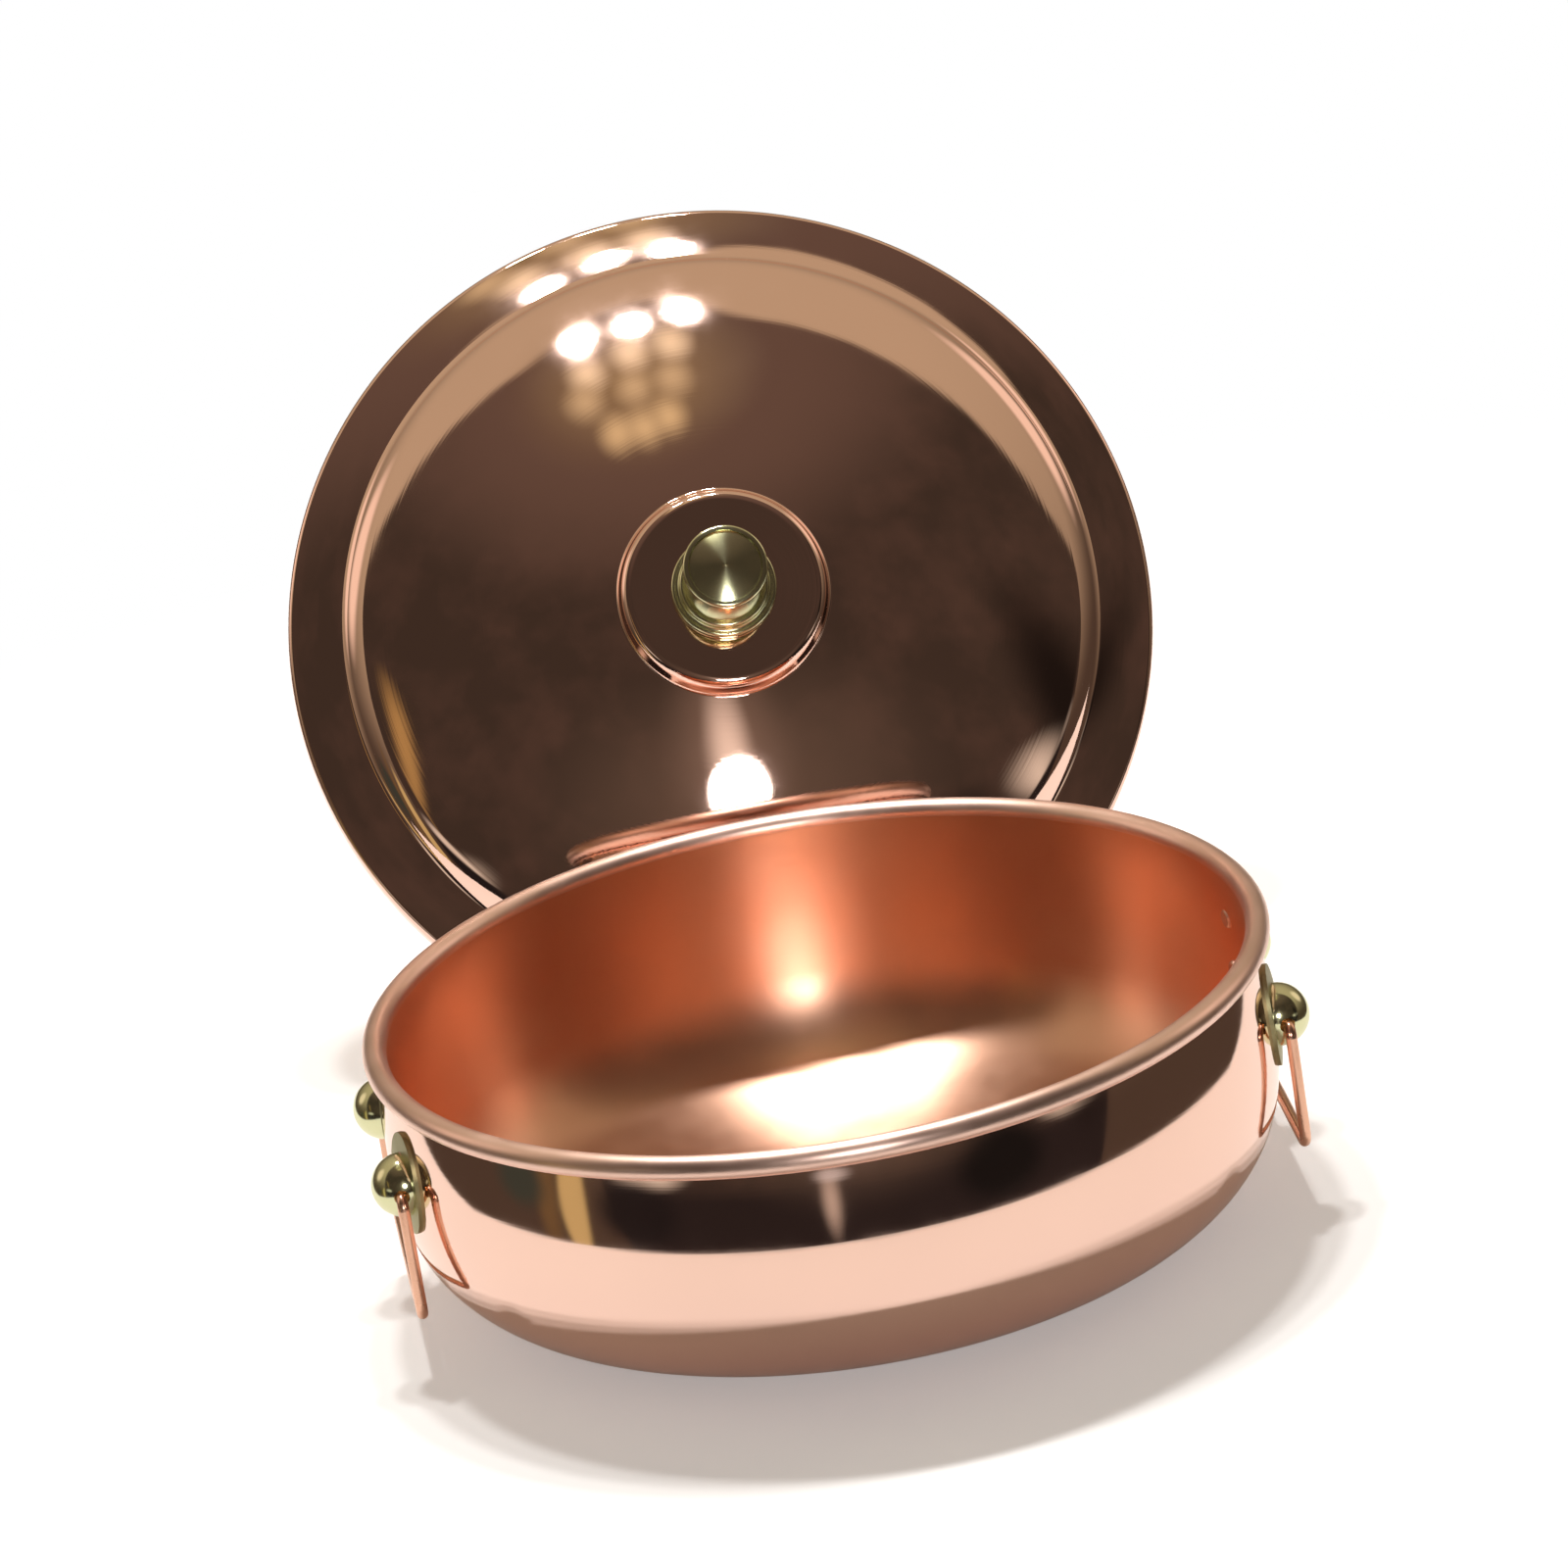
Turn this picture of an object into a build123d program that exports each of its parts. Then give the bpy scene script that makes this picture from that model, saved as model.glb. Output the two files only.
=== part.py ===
from build123d import *
from math import asin, atan2, cos, degrees, hypot, radians, sin, sqrt, tan
import os

# Copper hot pot: a spun copper pan with a wired rim, two swinging bail handles on
# brass half-ball lugs, and a domed lid with a turned brass knob. The lid is off and stands
# behind the pan. Millimetres and degrees; +Z up, origin at the centre of the pan's
# flat base, the two handles along X.

# Pan
rim_radius = 150.0
pot_height = 97.0
pot_wall = 1.5
belly_recess = 2.4
belly_height = 60.0
base_radius = 77.0
floor_arc_radius = 120.0
hip_arc_radius = 39.0

# Rolled rim and the wire inside it
bead_radius = 4.0
rim_wire_clearance = 0.1
curl_end_angle = -108.0

# Lugs: backplates, half balls and rivets
lug_height = 64.0
lug_half_spacing = 33.6
plate_thickness = 1.3
plate_half_width = 12.0
plate_half_length = 17.5
ball_radius = 10.5
rivet_half_spacing = 9.4
rivet_radius = 1.8
rivet_clearance = 0.05
rivet_head_radius = 3.4
rivet_head_height = 1.5
rivet_head_rounding = 1.2
edge_tolerance = 0.1

# Bail handles
bail_wire_radius = 1.9
bail_clearance = 0.06
bail_axis_from_plate = 1.6
bail_axis_drop = 0.5
bail_drop = 41.5
bail_side_gap = 0.8
bail_pin_length = 7.5
bail_pin_end_gap = 0.3
bail_top_bend = 3.0
bail_bottom_bend = 5.0
mouth_width = 0.8
mouth_depth = 1.0

# Lid: skirt, brim, step, dome and boss
lid_wall = 1.2
lid_skirt_gap = 1.8
lid_skirt_depth = 8.0
lid_edge_radius = 2.6
brim_width = 18.8
brim_edge_slope = 19.0
brim_foot_slope = 26.5
step_slope = 54.0
step_cove_radius = 7.0
shoulder_radius = 19.0
dome_arc_radius = 250.0
boss_foot_radius = 37.4
boss_top_radius = 34.8
boss_height = 6.4
boss_cove_radius = 2.6
boss_edge_radius = 2.2

# Where the lid stands
lid_lean = 33.0
lid_turn = -0.4
lid_side = 7.3
lid_foot_gap = 22.4

# Knob
knob_base_radius = 18.4
knob_base_height = 3.4
knob_step_radius = 15.6
knob_step_height = 2.8
knob_waist_inset = 2.4
knob_lip_inset = 2.0
knob_neck_radius = 9.8
knob_neck_height = 15.0
knob_head_radius = 14.7
knob_head_height = 30.5
knob_lip_height = 3.0
knob_cap_radius = 12.8
knob_cap_depth = 0.7
knob_cap_rise = 2.2
knob_edge_radius = 1.1

# Screw and washer that hold the knob from inside the lid
screw_radius = 3.0
screw_clearance = 0.05
screw_depth = 16.0
screw_tip_gap = 1.0
screw_head_radius = 5.6
screw_head_height = 3.2
screw_slot_width = 1.4
screw_slot_depth = 1.2
washer_radius = 11.0
washer_thickness = 1.4
washer_clearance = 0.15

SIDES = (("left", -1), ("right", 1))
ENDS = (("front", -1), ("back", 1))


def polar(centre, radius, angle):
    """Point of a section on a circle, from its centre and an angle in degrees."""
    return (centre[0] + radius * cos(radians(angle)), centre[1] + radius * sin(radians(angle)))


def face_side(centre, distance, slope):
    """Point of a section at a distance from a centre, square to a face that falls outward by a slope."""
    return polar(centre, distance, 90 - slope)


def touching(line_point, line_angle, radius, centre, reach):
    """Centre of a round that touches a rising line and lies at a reach from a centre.

    A positive radius puts the round on the line's left, a negative one on its right.
    """
    start = polar(line_point, radius, line_angle + 90)
    from_centre = (start[0] - centre[0], start[1] - centre[1])
    ahead = from_centre[0] * cos(radians(line_angle)) + from_centre[1] * sin(radians(line_angle))
    distance = sqrt(ahead**2 - hypot(*from_centre) ** 2 + reach**2) - ahead
    return polar(start, distance, line_angle)


# The belly is one arc, which leaves the bead tangentially; its radius follows.
belly_radius = rim_radius - belly_recess
bead = (rim_radius - bead_radius, pot_height - bead_radius)
curl_radius = bead_radius - pot_wall
bead_inset = bead[0] - belly_radius
bead_rise = bead[1] - belly_height
belly_arc_radius = (bead_inset**2 + bead_rise**2 - curl_radius**2) / (2 * (curl_radius - bead_inset))
belly_centre = (belly_radius - belly_arc_radius, belly_height)
bead_angle = degrees(atan2(bead_rise, bead[0] - belly_centre[0]))

# The hip arc touches both the belly arc and the wide arc that ends the flat base.
floor_centre = (base_radius, floor_arc_radius)
floor_reach = floor_arc_radius - hip_arc_radius
belly_reach = belly_arc_radius - hip_arc_radius
gap_x = floor_centre[0] - belly_centre[0]
gap_z = floor_centre[1] - belly_centre[1]
centres_apart = hypot(gap_x, gap_z)
along = (belly_reach**2 - floor_reach**2 + centres_apart**2) / (2 * centres_apart)
aside = sqrt(belly_reach**2 - along**2)
hip_centre = (
    belly_centre[0] + (along * gap_x + aside * gap_z) / centres_apart,
    belly_centre[1] + (along * gap_z - aside * gap_x) / centres_apart,
)
hip_angle = degrees(atan2(hip_centre[1] - belly_centre[1], hip_centre[0] - belly_centre[0]))
floor_angle = degrees(atan2(hip_centre[1] - floor_centre[1], hip_centre[0] - floor_centre[0]))


def belly_x(height, outward):
    """Radius of the belly's outer face at a height, moved outward."""
    return belly_centre[0] + sqrt((belly_arc_radius + outward) ** 2 - (height - belly_height) ** 2)


# Lug and bail places, which follow the outer face of the backplates
plate_reach = belly_x(lug_height, plate_thickness)
lug_angle = degrees(asin(lug_half_spacing / plate_reach))
bail_axis_x = plate_reach * cos(radians(lug_angle)) + bail_axis_from_plate
bail_axis_z = lug_height - bail_axis_drop
bail_bottom_z = bail_axis_z - bail_drop
ball_side = lug_half_spacing + ball_radius
bail_half_width = ball_side + bail_side_gap + bail_wire_radius
bail_pin_start = ball_side - bail_pin_length
bail_hole_radius = bail_wire_radius + bail_clearance

# Lid frame: the lid's axis points to the front of the pan and upward.
lid_radius = rim_radius + lid_skirt_gap + lid_wall
lid_axis = Vector(
    sin(radians(lid_turn)) * cos(radians(lid_lean)),
    -cos(radians(lid_turn)) * cos(radians(lid_lean)),
    sin(radians(lid_lean)),
)
lid_across = Vector(cos(radians(lid_turn)), sin(radians(lid_turn)), 0)
lid_centre_height = lid_radius * cos(radians(lid_lean)) + lid_skirt_depth * sin(radians(lid_lean))
lid_reach = lid_radius * sin(radians(lid_lean)) - lid_skirt_depth * cos(radians(lid_lean))
lid_origin = Vector(lid_side, rim_radius + lid_foot_gap + lid_reach, lid_centre_height)
lid_section = Plane(origin=lid_origin, x_dir=lid_across, z_dir=lid_across.cross(lid_axis))
lid_turning_axis = Axis(lid_origin, lid_axis)

# Lid section: radii, and heights along its axis from the top of its rounded edge. The brim
# and the cove are hollow arcs, which steepen inward; the shoulder and the dome are round ones.
lid_edge = (lid_radius - lid_edge_radius, -lid_edge_radius)
brim_start = face_side(lid_edge, lid_edge_radius, brim_edge_slope)
brim_turn = sin(radians(brim_foot_slope)) - sin(radians(brim_edge_slope))
brim_arc_radius = (brim_start[0] - lid_radius + brim_width) / brim_turn
brim_centre = face_side(brim_start, brim_arc_radius, brim_edge_slope)
step_cove = face_side(brim_centre, step_cove_radius - brim_arc_radius, brim_foot_slope)
shoulder = face_side(step_cove, -step_cove_radius - shoulder_radius, step_slope)
shoulder_slope = degrees(asin(shoulder[0] / (dome_arc_radius - shoulder_radius)))
dome_centre = face_side(shoulder, shoulder_radius - dome_arc_radius, shoulder_slope)
boss_foot = (boss_foot_radius, dome_centre[1] + sqrt(dome_arc_radius**2 - boss_foot_radius**2))
boss_top = boss_foot[1] + boss_height
boss_flank = degrees(atan2(boss_height, boss_foot_radius - boss_top_radius))
boss_cove = touching(
    boss_foot, 180 - boss_flank, -boss_cove_radius, dome_centre, dome_arc_radius + boss_cove_radius
)
boss_slope = degrees(atan2(boss_cove[0], boss_cove[1] - dome_centre[1]))
boss_edge_inset = boss_edge_radius * tan(radians(boss_flank / 2))
boss_edge = (boss_top_radius - boss_edge_inset, boss_top - boss_edge_radius)
screw_hole_radius = screw_radius + washer_clearance

os.makedirs("parts", exist_ok=True)


def pan_line(inset):
    """Draw the pan's section from the axis to the rim curl, moved into the sheet."""
    Line((0, inset), (base_radius, inset))
    CenterArc(floor_centre, floor_arc_radius - inset, -90, 90 + floor_angle)
    CenterArc(hip_centre, hip_arc_radius - inset, floor_angle, hip_angle - floor_angle)
    CenterArc(belly_centre, belly_arc_radius - inset, hip_angle, bead_angle - hip_angle)
    curl_sweep = curl_end_angle - 180 - bead_angle
    CenterArc(bead, curl_radius + inset, 180 + bead_angle, curl_sweep)


def belly_space(outward):
    """Everything inside the belly arc, moved outward, over the lugs' height."""
    low = lug_height - 2 * plate_half_length
    high = bead[1]
    low_point = (belly_x(low, outward), low)
    middle_point = (belly_x(belly_height, outward), belly_height)
    high_point = (belly_x(high, outward), high)
    with BuildPart() as space:
        with BuildSketch(Plane.XZ):
            with BuildLine():
                ThreePointArc(low_point, middle_point, high_point)
                Polyline(high_point, (0, high), (0, low), low_point)
            make_face()
        revolve(axis=Axis.Z)
    return space.part


def lug_plane(side, end, distance=0.0):
    """Plane across a lug's own radius, at a distance from the pan's axis; its x is up."""
    outward = Vector(side * cos(radians(lug_angle)), end * sin(radians(lug_angle)), 0)
    origin = Vector(0, 0, lug_height) + outward * distance
    return Plane(origin=origin, x_dir=(0, 0, 1), z_dir=outward)


inner_space = belly_space(-pot_wall)
wall_space = belly_space(0)
plate_space = belly_space(plate_thickness)


# Pan body: base, hip, belly and rim curl from one sheet, with the rivet holes
with BuildPart() as pot_body:
    with BuildSketch(Plane.XZ):
        with BuildLine():
            pan_line(0)
            pan_line(pot_wall)
            Line((0, 0), (0, pot_wall))
            Line(polar(bead, curl_radius, curl_end_angle), polar(bead, bead_radius, curl_end_angle))
        make_face()
    revolve(axis=Axis.Z)
    for side_name, side in SIDES:
        for end_name, end in ENDS:
            with BuildSketch(lug_plane(side, end)):
                with Locations((-rivet_half_spacing, 0), (rivet_half_spacing, 0)):
                    Circle(rivet_radius + rivet_clearance)
            extrude(amount=plate_reach, mode=Mode.SUBTRACT)
pot_body.part.label = "pot_body"
export_step(pot_body.part, "parts/pot_body.step")


# Wire that the rim is rolled around
with BuildPart() as rim_wire:
    with BuildSketch(Plane.XZ):
        with Locations(bead):
            Circle(curl_radius - rim_wire_clearance)
    revolve(axis=Axis.Z)
rim_wire.part.label = "rim_wire"
export_step(rim_wire.part, "parts/rim_wire.step")


# Lugs: each has an oval backplate that follows the belly, a ball that carries one end
# of the bail, and two rivets whose heads lie inside the pan
for side_name, side in SIDES:
    for end_name, end in ENDS:
        with BuildPart() as lug_plate:
            with BuildSketch(lug_plane(side, end)):
                Ellipse(plate_half_length, plate_half_width)
            extrude(amount=plate_reach + ball_radius)
            add(plate_space, mode=Mode.INTERSECT)
            add(wall_space, mode=Mode.SUBTRACT)
            with BuildSketch(lug_plane(side, end)):
                with Locations((-rivet_half_spacing, 0), (rivet_half_spacing, 0)):
                    Circle(rivet_radius + rivet_clearance)
            extrude(amount=plate_reach, mode=Mode.SUBTRACT)
        lug_plate.part.label = f"{side_name}_{end_name}_lug_plate"
        export_step(lug_plate.part, f"parts/{lug_plate.part.label}.step")

        hole_bottom = Vector(side * bail_axis_x, end * (bail_pin_start - bail_pin_end_gap), bail_axis_z)
        hole_plane = Plane(origin=hole_bottom, x_dir=(0, 0, 1), z_dir=(0, end, 0))
        ball_centre = lug_plane(side, end, plate_reach)
        mouth_aside = hypot(bail_axis_x - abs(ball_centre.origin.X), bail_axis_drop)
        mouth_side = lug_half_spacing + sqrt(ball_radius**2 - mouth_aside**2)
        mouth_distance = mouth_side - bail_pin_start + bail_pin_end_gap
        with BuildPart() as lug_ball:
            with Locations(ball_centre):
                Sphere(ball_radius)
            add(plate_space, mode=Mode.SUBTRACT)
            with BuildSketch(hole_plane):
                Circle(bail_hole_radius)
            extrude(amount=ball_radius + bail_pin_length, mode=Mode.SUBTRACT)
            with Locations(hole_plane.offset(mouth_distance - mouth_depth)):
                Cone(
                    bail_hole_radius,
                    bail_hole_radius + 2 * mouth_width,
                    2 * mouth_depth,
                    align=(Align.CENTER, Align.CENTER, Align.MIN),
                    mode=Mode.SUBTRACT,
                )
        lug_ball.part.label = f"{side_name}_{end_name}_lug_ball"
        export_step(lug_ball.part, f"parts/{lug_ball.part.label}.step")

        head_end = belly_x(lug_height, -pot_wall) - rivet_head_height
        head_plane = lug_plane(side, end, head_end)
        with BuildPart() as lug_rivets:
            with BuildSketch(head_plane):
                with Locations((-rivet_half_spacing, 0), (rivet_half_spacing, 0)):
                    Circle(rivet_head_radius)
            extrude(amount=rivet_head_height + pot_wall)
            fillet(
                lug_rivets.edges().filter_by(
                    lambda edge: abs(head_plane.to_local_coords(edge.center()).Z) < edge_tolerance
                ),
                rivet_head_rounding,
            )
            add(inner_space, mode=Mode.INTERSECT)
            with BuildSketch(head_plane.offset(rivet_head_height / 2)):
                with Locations((-rivet_half_spacing, 0), (rivet_half_spacing, 0)):
                    Circle(rivet_radius)
            extrude(amount=ball_radius)
            add(plate_space, mode=Mode.INTERSECT)
        lug_rivets.part.label = f"{side_name}_{end_name}_rivets"
        export_step(lug_rivets.part, f"parts/{lug_rivets.part.label}.step")


# Bails: one wire each, with its ends turned in to the balls
for side_name, side in SIDES:
    with BuildPart() as bail:
        with BuildLine(Plane.YZ.offset(side * bail_axis_x)) as bail_path:
            FilletPolyline(
                (-bail_pin_start, bail_axis_z),
                (-bail_half_width, bail_axis_z),
                (-bail_half_width, bail_bottom_z),
                (bail_half_width, bail_bottom_z),
                (bail_half_width, bail_axis_z),
                (bail_pin_start, bail_axis_z),
                radius=[bail_top_bend, bail_bottom_bend, bail_bottom_bend, bail_top_bend],
            )
        with BuildSketch(Plane(origin=bail_path.line @ 0, z_dir=bail_path.line % 0)):
            Circle(bail_wire_radius)
        sweep(path=bail_path.line)
    bail.part.label = f"{side_name}_bail"
    export_step(bail.part, f"parts/{bail.part.label}.step")


def lid_line(inset):
    """Draw the lid's section from its skirt to the screw hole, moved into the sheet."""
    Line((lid_radius - inset, -lid_skirt_depth), (lid_radius - inset, -lid_edge_radius))
    CenterArc(lid_edge, lid_edge_radius - inset, 0, 90 - brim_edge_slope)
    brim_sweep = brim_edge_slope - brim_foot_slope
    CenterArc(brim_centre, brim_arc_radius + inset, -90 - brim_edge_slope, brim_sweep)
    cove_turn = brim_foot_slope - step_slope
    CenterArc(step_cove, step_cove_radius + inset, -90 - brim_foot_slope, cove_turn)
    CenterArc(shoulder, shoulder_radius - inset, 90 - step_slope, step_slope - shoulder_slope)
    dome_turn = shoulder_slope - boss_slope
    CenterArc(dome_centre, dome_arc_radius - inset, 90 - shoulder_slope, dome_turn)
    CenterArc(boss_cove, boss_cove_radius + inset, -90 - boss_slope, boss_slope - boss_flank)
    Line(
        polar(boss_cove, boss_cove_radius + inset, -90 - boss_flank),
        polar(boss_edge, boss_edge_radius - inset, 90 - boss_flank),
    )
    CenterArc(boss_edge, boss_edge_radius - inset, 90 - boss_flank, boss_flank)
    Line((boss_edge[0], boss_top - inset), (screw_hole_radius, boss_top - inset))


# Lid: skirt, brim, dome and boss, spun from one sheet
with BuildPart() as lid_shell:
    with BuildSketch(lid_section):
        with BuildLine():
            lid_line(0)
            lid_line(lid_wall)
            Line((lid_radius, -lid_skirt_depth), (lid_radius - lid_wall, -lid_skirt_depth))
            Line((screw_hole_radius, boss_top), (screw_hole_radius, boss_top - lid_wall))
        make_face()
    revolve(axis=lid_turning_axis)
lid_shell.part.label = "lid_shell"
export_step(lid_shell.part, "parts/lid_shell.step")


# Knob: a stepped foot, a waist and a flared head with a domed cap
knob_foot_top = boss_top + knob_base_height
knob_step_top = knob_foot_top + knob_step_height
knob_head_top = boss_top + knob_head_height
knob_head_under = knob_head_top - knob_lip_height
knob_hole_radius = screw_radius + screw_clearance
knob_hole_top = boss_top + screw_depth + screw_tip_gap
knob_cap_edge = knob_head_top - knob_cap_depth
cap_arc_radius = (knob_cap_radius**2 + knob_cap_rise**2) / (2 * knob_cap_rise)
cap_centre = (0, knob_cap_edge + knob_cap_rise - cap_arc_radius)
cap_slope = degrees(asin(knob_cap_radius / cap_arc_radius))
knob_rims = [round(radius, 3) for radius in (knob_base_radius, knob_step_radius, knob_head_radius)]
with BuildPart() as knob:
    with BuildSketch(lid_section):
        with BuildLine():
            Polyline(
                (0, knob_hole_top),
                (knob_hole_radius, knob_hole_top),
                (knob_hole_radius, boss_top),
                (knob_base_radius, boss_top),
                (knob_base_radius, knob_foot_top),
                (knob_step_radius, knob_foot_top),
                (knob_step_radius, knob_step_top),
                (knob_step_radius - knob_waist_inset, knob_step_top),
            )
            ThreePointArc(
                (knob_step_radius - knob_waist_inset, knob_step_top),
                (knob_neck_radius, boss_top + knob_neck_height),
                (knob_head_radius - knob_lip_inset, knob_head_under),
            )
            Polyline(
                (knob_head_radius - knob_lip_inset, knob_head_under),
                (knob_head_radius, knob_head_under),
                (knob_head_radius, knob_head_top),
                (knob_cap_radius, knob_head_top),
                (knob_cap_radius, knob_cap_edge),
            )
            CenterArc(cap_centre, cap_arc_radius, 90 - cap_slope, cap_slope)
            Line((0, knob_cap_edge + knob_cap_rise), (0, knob_hole_top))
        make_face()
    revolve(axis=lid_turning_axis)
    round_edges = knob.edges().filter_by(GeomType.CIRCLE)
    fillet(round_edges.filter_by(lambda edge: round(edge.radius, 3) in knob_rims), knob_edge_radius)
knob.part.label = "knob"
export_step(knob.part, "parts/knob.step")


# Screw and washer under the boss
washer_under = boss_top - lid_wall - washer_thickness
screw_under = washer_under - screw_head_height
screw_top = boss_top + screw_depth
with BuildPart() as knob_washer:
    with BuildSketch(lid_section):
        with BuildLine():
            Polyline(
                (screw_hole_radius, washer_under),
                (washer_radius, washer_under),
                (washer_radius, washer_under + washer_thickness),
                (screw_hole_radius, washer_under + washer_thickness),
                close=True,
            )
        make_face()
    revolve(axis=lid_turning_axis)
knob_washer.part.label = "knob_washer"
export_step(knob_washer.part, "parts/knob_washer.step")

with BuildPart() as knob_screw:
    with BuildSketch(lid_section):
        with BuildLine():
            Polyline(
                (0, screw_top),
                (0, screw_under),
                (screw_head_radius, screw_under),
                (screw_head_radius, washer_under),
                (screw_radius, washer_under),
                (screw_radius, screw_top),
                close=True,
            )
        make_face()
    revolve(axis=lid_turning_axis)
    with BuildSketch(Plane(lid_origin + lid_axis * screw_under, x_dir=lid_across, z_dir=lid_axis)):
        Rectangle(2 * screw_head_radius, screw_slot_width)
    extrude(amount=screw_slot_depth, mode=Mode.SUBTRACT)
knob_screw.part.label = "knob_screw"
export_step(knob_screw.part, "parts/knob_screw.step")
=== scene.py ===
from math import asin, atan2, ceil, cos, hypot, pi, radians, sin, sqrt

import bpy
import numpy as np
from bpy.props import FloatProperty, FloatVectorProperty, PointerProperty
from mathutils import Matrix, Vector


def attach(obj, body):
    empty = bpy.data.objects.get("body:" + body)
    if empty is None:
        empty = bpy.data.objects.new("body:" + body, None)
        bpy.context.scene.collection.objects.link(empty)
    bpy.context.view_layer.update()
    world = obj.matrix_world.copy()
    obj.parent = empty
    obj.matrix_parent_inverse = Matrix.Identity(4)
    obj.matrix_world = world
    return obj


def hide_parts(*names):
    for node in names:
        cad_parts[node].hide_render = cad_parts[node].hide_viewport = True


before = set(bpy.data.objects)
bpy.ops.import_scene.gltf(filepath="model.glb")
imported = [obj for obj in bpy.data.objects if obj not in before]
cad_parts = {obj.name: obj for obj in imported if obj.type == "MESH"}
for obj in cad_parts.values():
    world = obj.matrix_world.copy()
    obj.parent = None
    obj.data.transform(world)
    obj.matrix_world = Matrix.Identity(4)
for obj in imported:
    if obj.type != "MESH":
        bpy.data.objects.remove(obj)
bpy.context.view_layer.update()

bl_info = {
    "name": "Copper hot pot",
    "version": (1, 0, 0),
    "blender": (4, 5, 0),
    "location": "View3D > Sidebar > Hot pot",
    "description": "Spun copper pan with swinging bails and a domed lid, over its packed solids",
    "category": "Object",
}

# Steps around each turned piece, and the widest step along an arc of its section, as an angle and as
# a length in metres
SEGMENTS = 240
ARC_STEP = radians(4.0)
ARC_LENGTH = 0.004
# A straight part of a section changes nothing along its run, so its steps are this much longer
LINE_STEPS = 4
# Less than this from the axis, a row is a single point
AXIS_ROUNDING = 1e-9
# Where two arcs touch, a distance may come out this much too large
TOUCH_ROUNDING = 1.0001
SIDES = ("left", "right")
ENDS = ("front", "back")


def linear(code):
    """Linear colour of an sRGB hex code."""
    levels = [int(code[i : i + 2], 16) / 255 for i in (1, 3, 5)]
    return tuple(v / 12.92 if v <= 0.04045 else ((v + 0.055) / 1.055) ** 2.4 for v in levels)


def length(name, value, description):
    """A size property in metres."""
    return FloatProperty(
        name=name, description=description, default=value, min=0.0, unit="LENGTH", precision=5
    )


def angle(name, value, description):
    """An angle property, with its default given in degrees."""
    return FloatProperty(name=name, description=description, default=radians(value), subtype="ANGLE")


def colour(name, code, description):
    """A colour property, with its default given as an sRGB hex code."""
    return FloatVectorProperty(
        name=name, description=description, default=linear(code), subtype="COLOR", min=0.0, max=1.0
    )


class HotPotPanSizes(bpy.types.PropertyGroup):
    """The section of the spun pan, as its solid has it."""

    wall: length("Wall", 0.0015, "Thickness of the spun sheet")
    base_radius: length("Base radius", 0.077, "Radius of the flat base")
    rim_radius: length("Rim radius", 0.150, "Radius over the rolled rim")
    height: length("Height", 0.097, "Height to the top of the rolled rim")
    belly_recess: length("Belly recess", 0.0024, "How far the belly stays inside the rim")
    belly_height: length("Belly height", 0.060, "Height of the widest part of the belly")
    floor_arc: length("Floor arc", 0.120, "Radius of the wide arc beside the base")
    hip_arc: length("Hip arc", 0.039, "Radius of the round between base and belly")
    bead: length("Bead", 0.004, "Radius of the rolled rim")
    curl_end: angle("Curl end", -108.0, "Angle at which the rolled rim ends")


class HotPotLidSizes(bpy.types.PropertyGroup):
    """The section of the spun lid and the place where it stands, as its solid has them."""

    wall: length("Wall", 0.0012, "Thickness of the spun sheet")
    radius: length("Radius", 0.153, "Radius over the skirt")
    skirt: length("Skirt", 0.008, "Depth of the skirt")
    edge: length("Edge", 0.0026, "Radius of the rounded edge")
    brim: length("Brim width", 0.0188, "Width of the sloping brim")
    brim_edge_slope: angle("Brim slope at the edge", 19.0, "How much the brim falls beside its edge")
    brim_foot_slope: angle("Brim slope at the step", 26.5, "How much the brim falls beside the step")
    step_slope: angle("Step slope", 54.0, "Steepest slope of the step")
    cove: length("Cove", 0.007, "Radius of the hollow at the foot of the step")
    shoulder: length("Shoulder", 0.019, "Radius of the round at the top of the step")
    dome: length("Dome", 0.250, "Radius of the dome")
    boss_foot: length("Boss foot", 0.0370, "Radius at the foot of the raised middle")
    boss_top: length("Boss top", 0.0348, "Radius at the top of the raised middle")
    boss_height: length("Boss height", 0.0064, "Height of the raised middle")
    boss_cove: length("Boss cove", 0.0014, "Radius of the hollow round the raised middle")
    boss_edge: length("Boss edge", 0.0040, "Radius of the raised middle's edge")
    hole: length("Hole", 0.00315, "Radius of the screw hole")
    lean: angle("Lean", 33.0, "How far the lid leans back from upright")
    turn: angle("Turn", -0.4, "How far the lid is turned aside")
    side: length("Side", 0.0073, "How far the lid stands to the right")
    foot_gap: length("Foot gap", 0.0224, "Gap between the pan's rim and the lid's foot")


class HotPotColours(bpy.types.PropertyGroup):
    """Colours of the metals, as they look face on, and of the stage."""

    copper: colour("Copper", "#F9D4C4", "Polished copper")
    # Satin copper's tint is painted deeper than the polished copper's: a painted interreflection, for light
    # that meets the metal more than once. Its satin is real, in its roughness.
    satin_copper_with_painted_bounce: colour("Satin copper", "#F8C4A6", "Brushed copper inside the pan")
    wire_copper: colour("Copper wire", "#F2BFA4", "Drawn copper of the bails")
    rivet_copper: colour("Rivet copper", "#DDB3A0", "Dull copper of the rivets")
    brass: colour("Brass", "#E2E3B8", "Polished brass of the knob and lugs")
    plate_brass: colour("Plate brass", "#A8A27A", "Duller brass of the backplates")
    iron: colour("Iron wire", "#8C8A86", "Wire in the rolled rim")
    floor: colour("Floor", "#F4F3F1", "Table that the pot stands on")
    room: colour("Room", "#3F362F", "Dark room before the pot")
    backdrop: colour("Backdrop", "#C0AF94", "Pale wall behind the pot and at its sides")


# Sections: rows of radius, height and the two parts of the face's normal


def polar(centre, radius, turn):
    """Point on a circle: the centre plus the radius times the cosine and the sine of an angle."""
    return np.array((centre[0] + radius * cos(turn), centre[1] + radius * sin(turn)))


def face_side(centre, distance, slope):
    """Point at a distance from a centre, square to a face that falls outward by a slope."""
    return polar(centre, distance, pi / 2 - slope)


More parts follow.
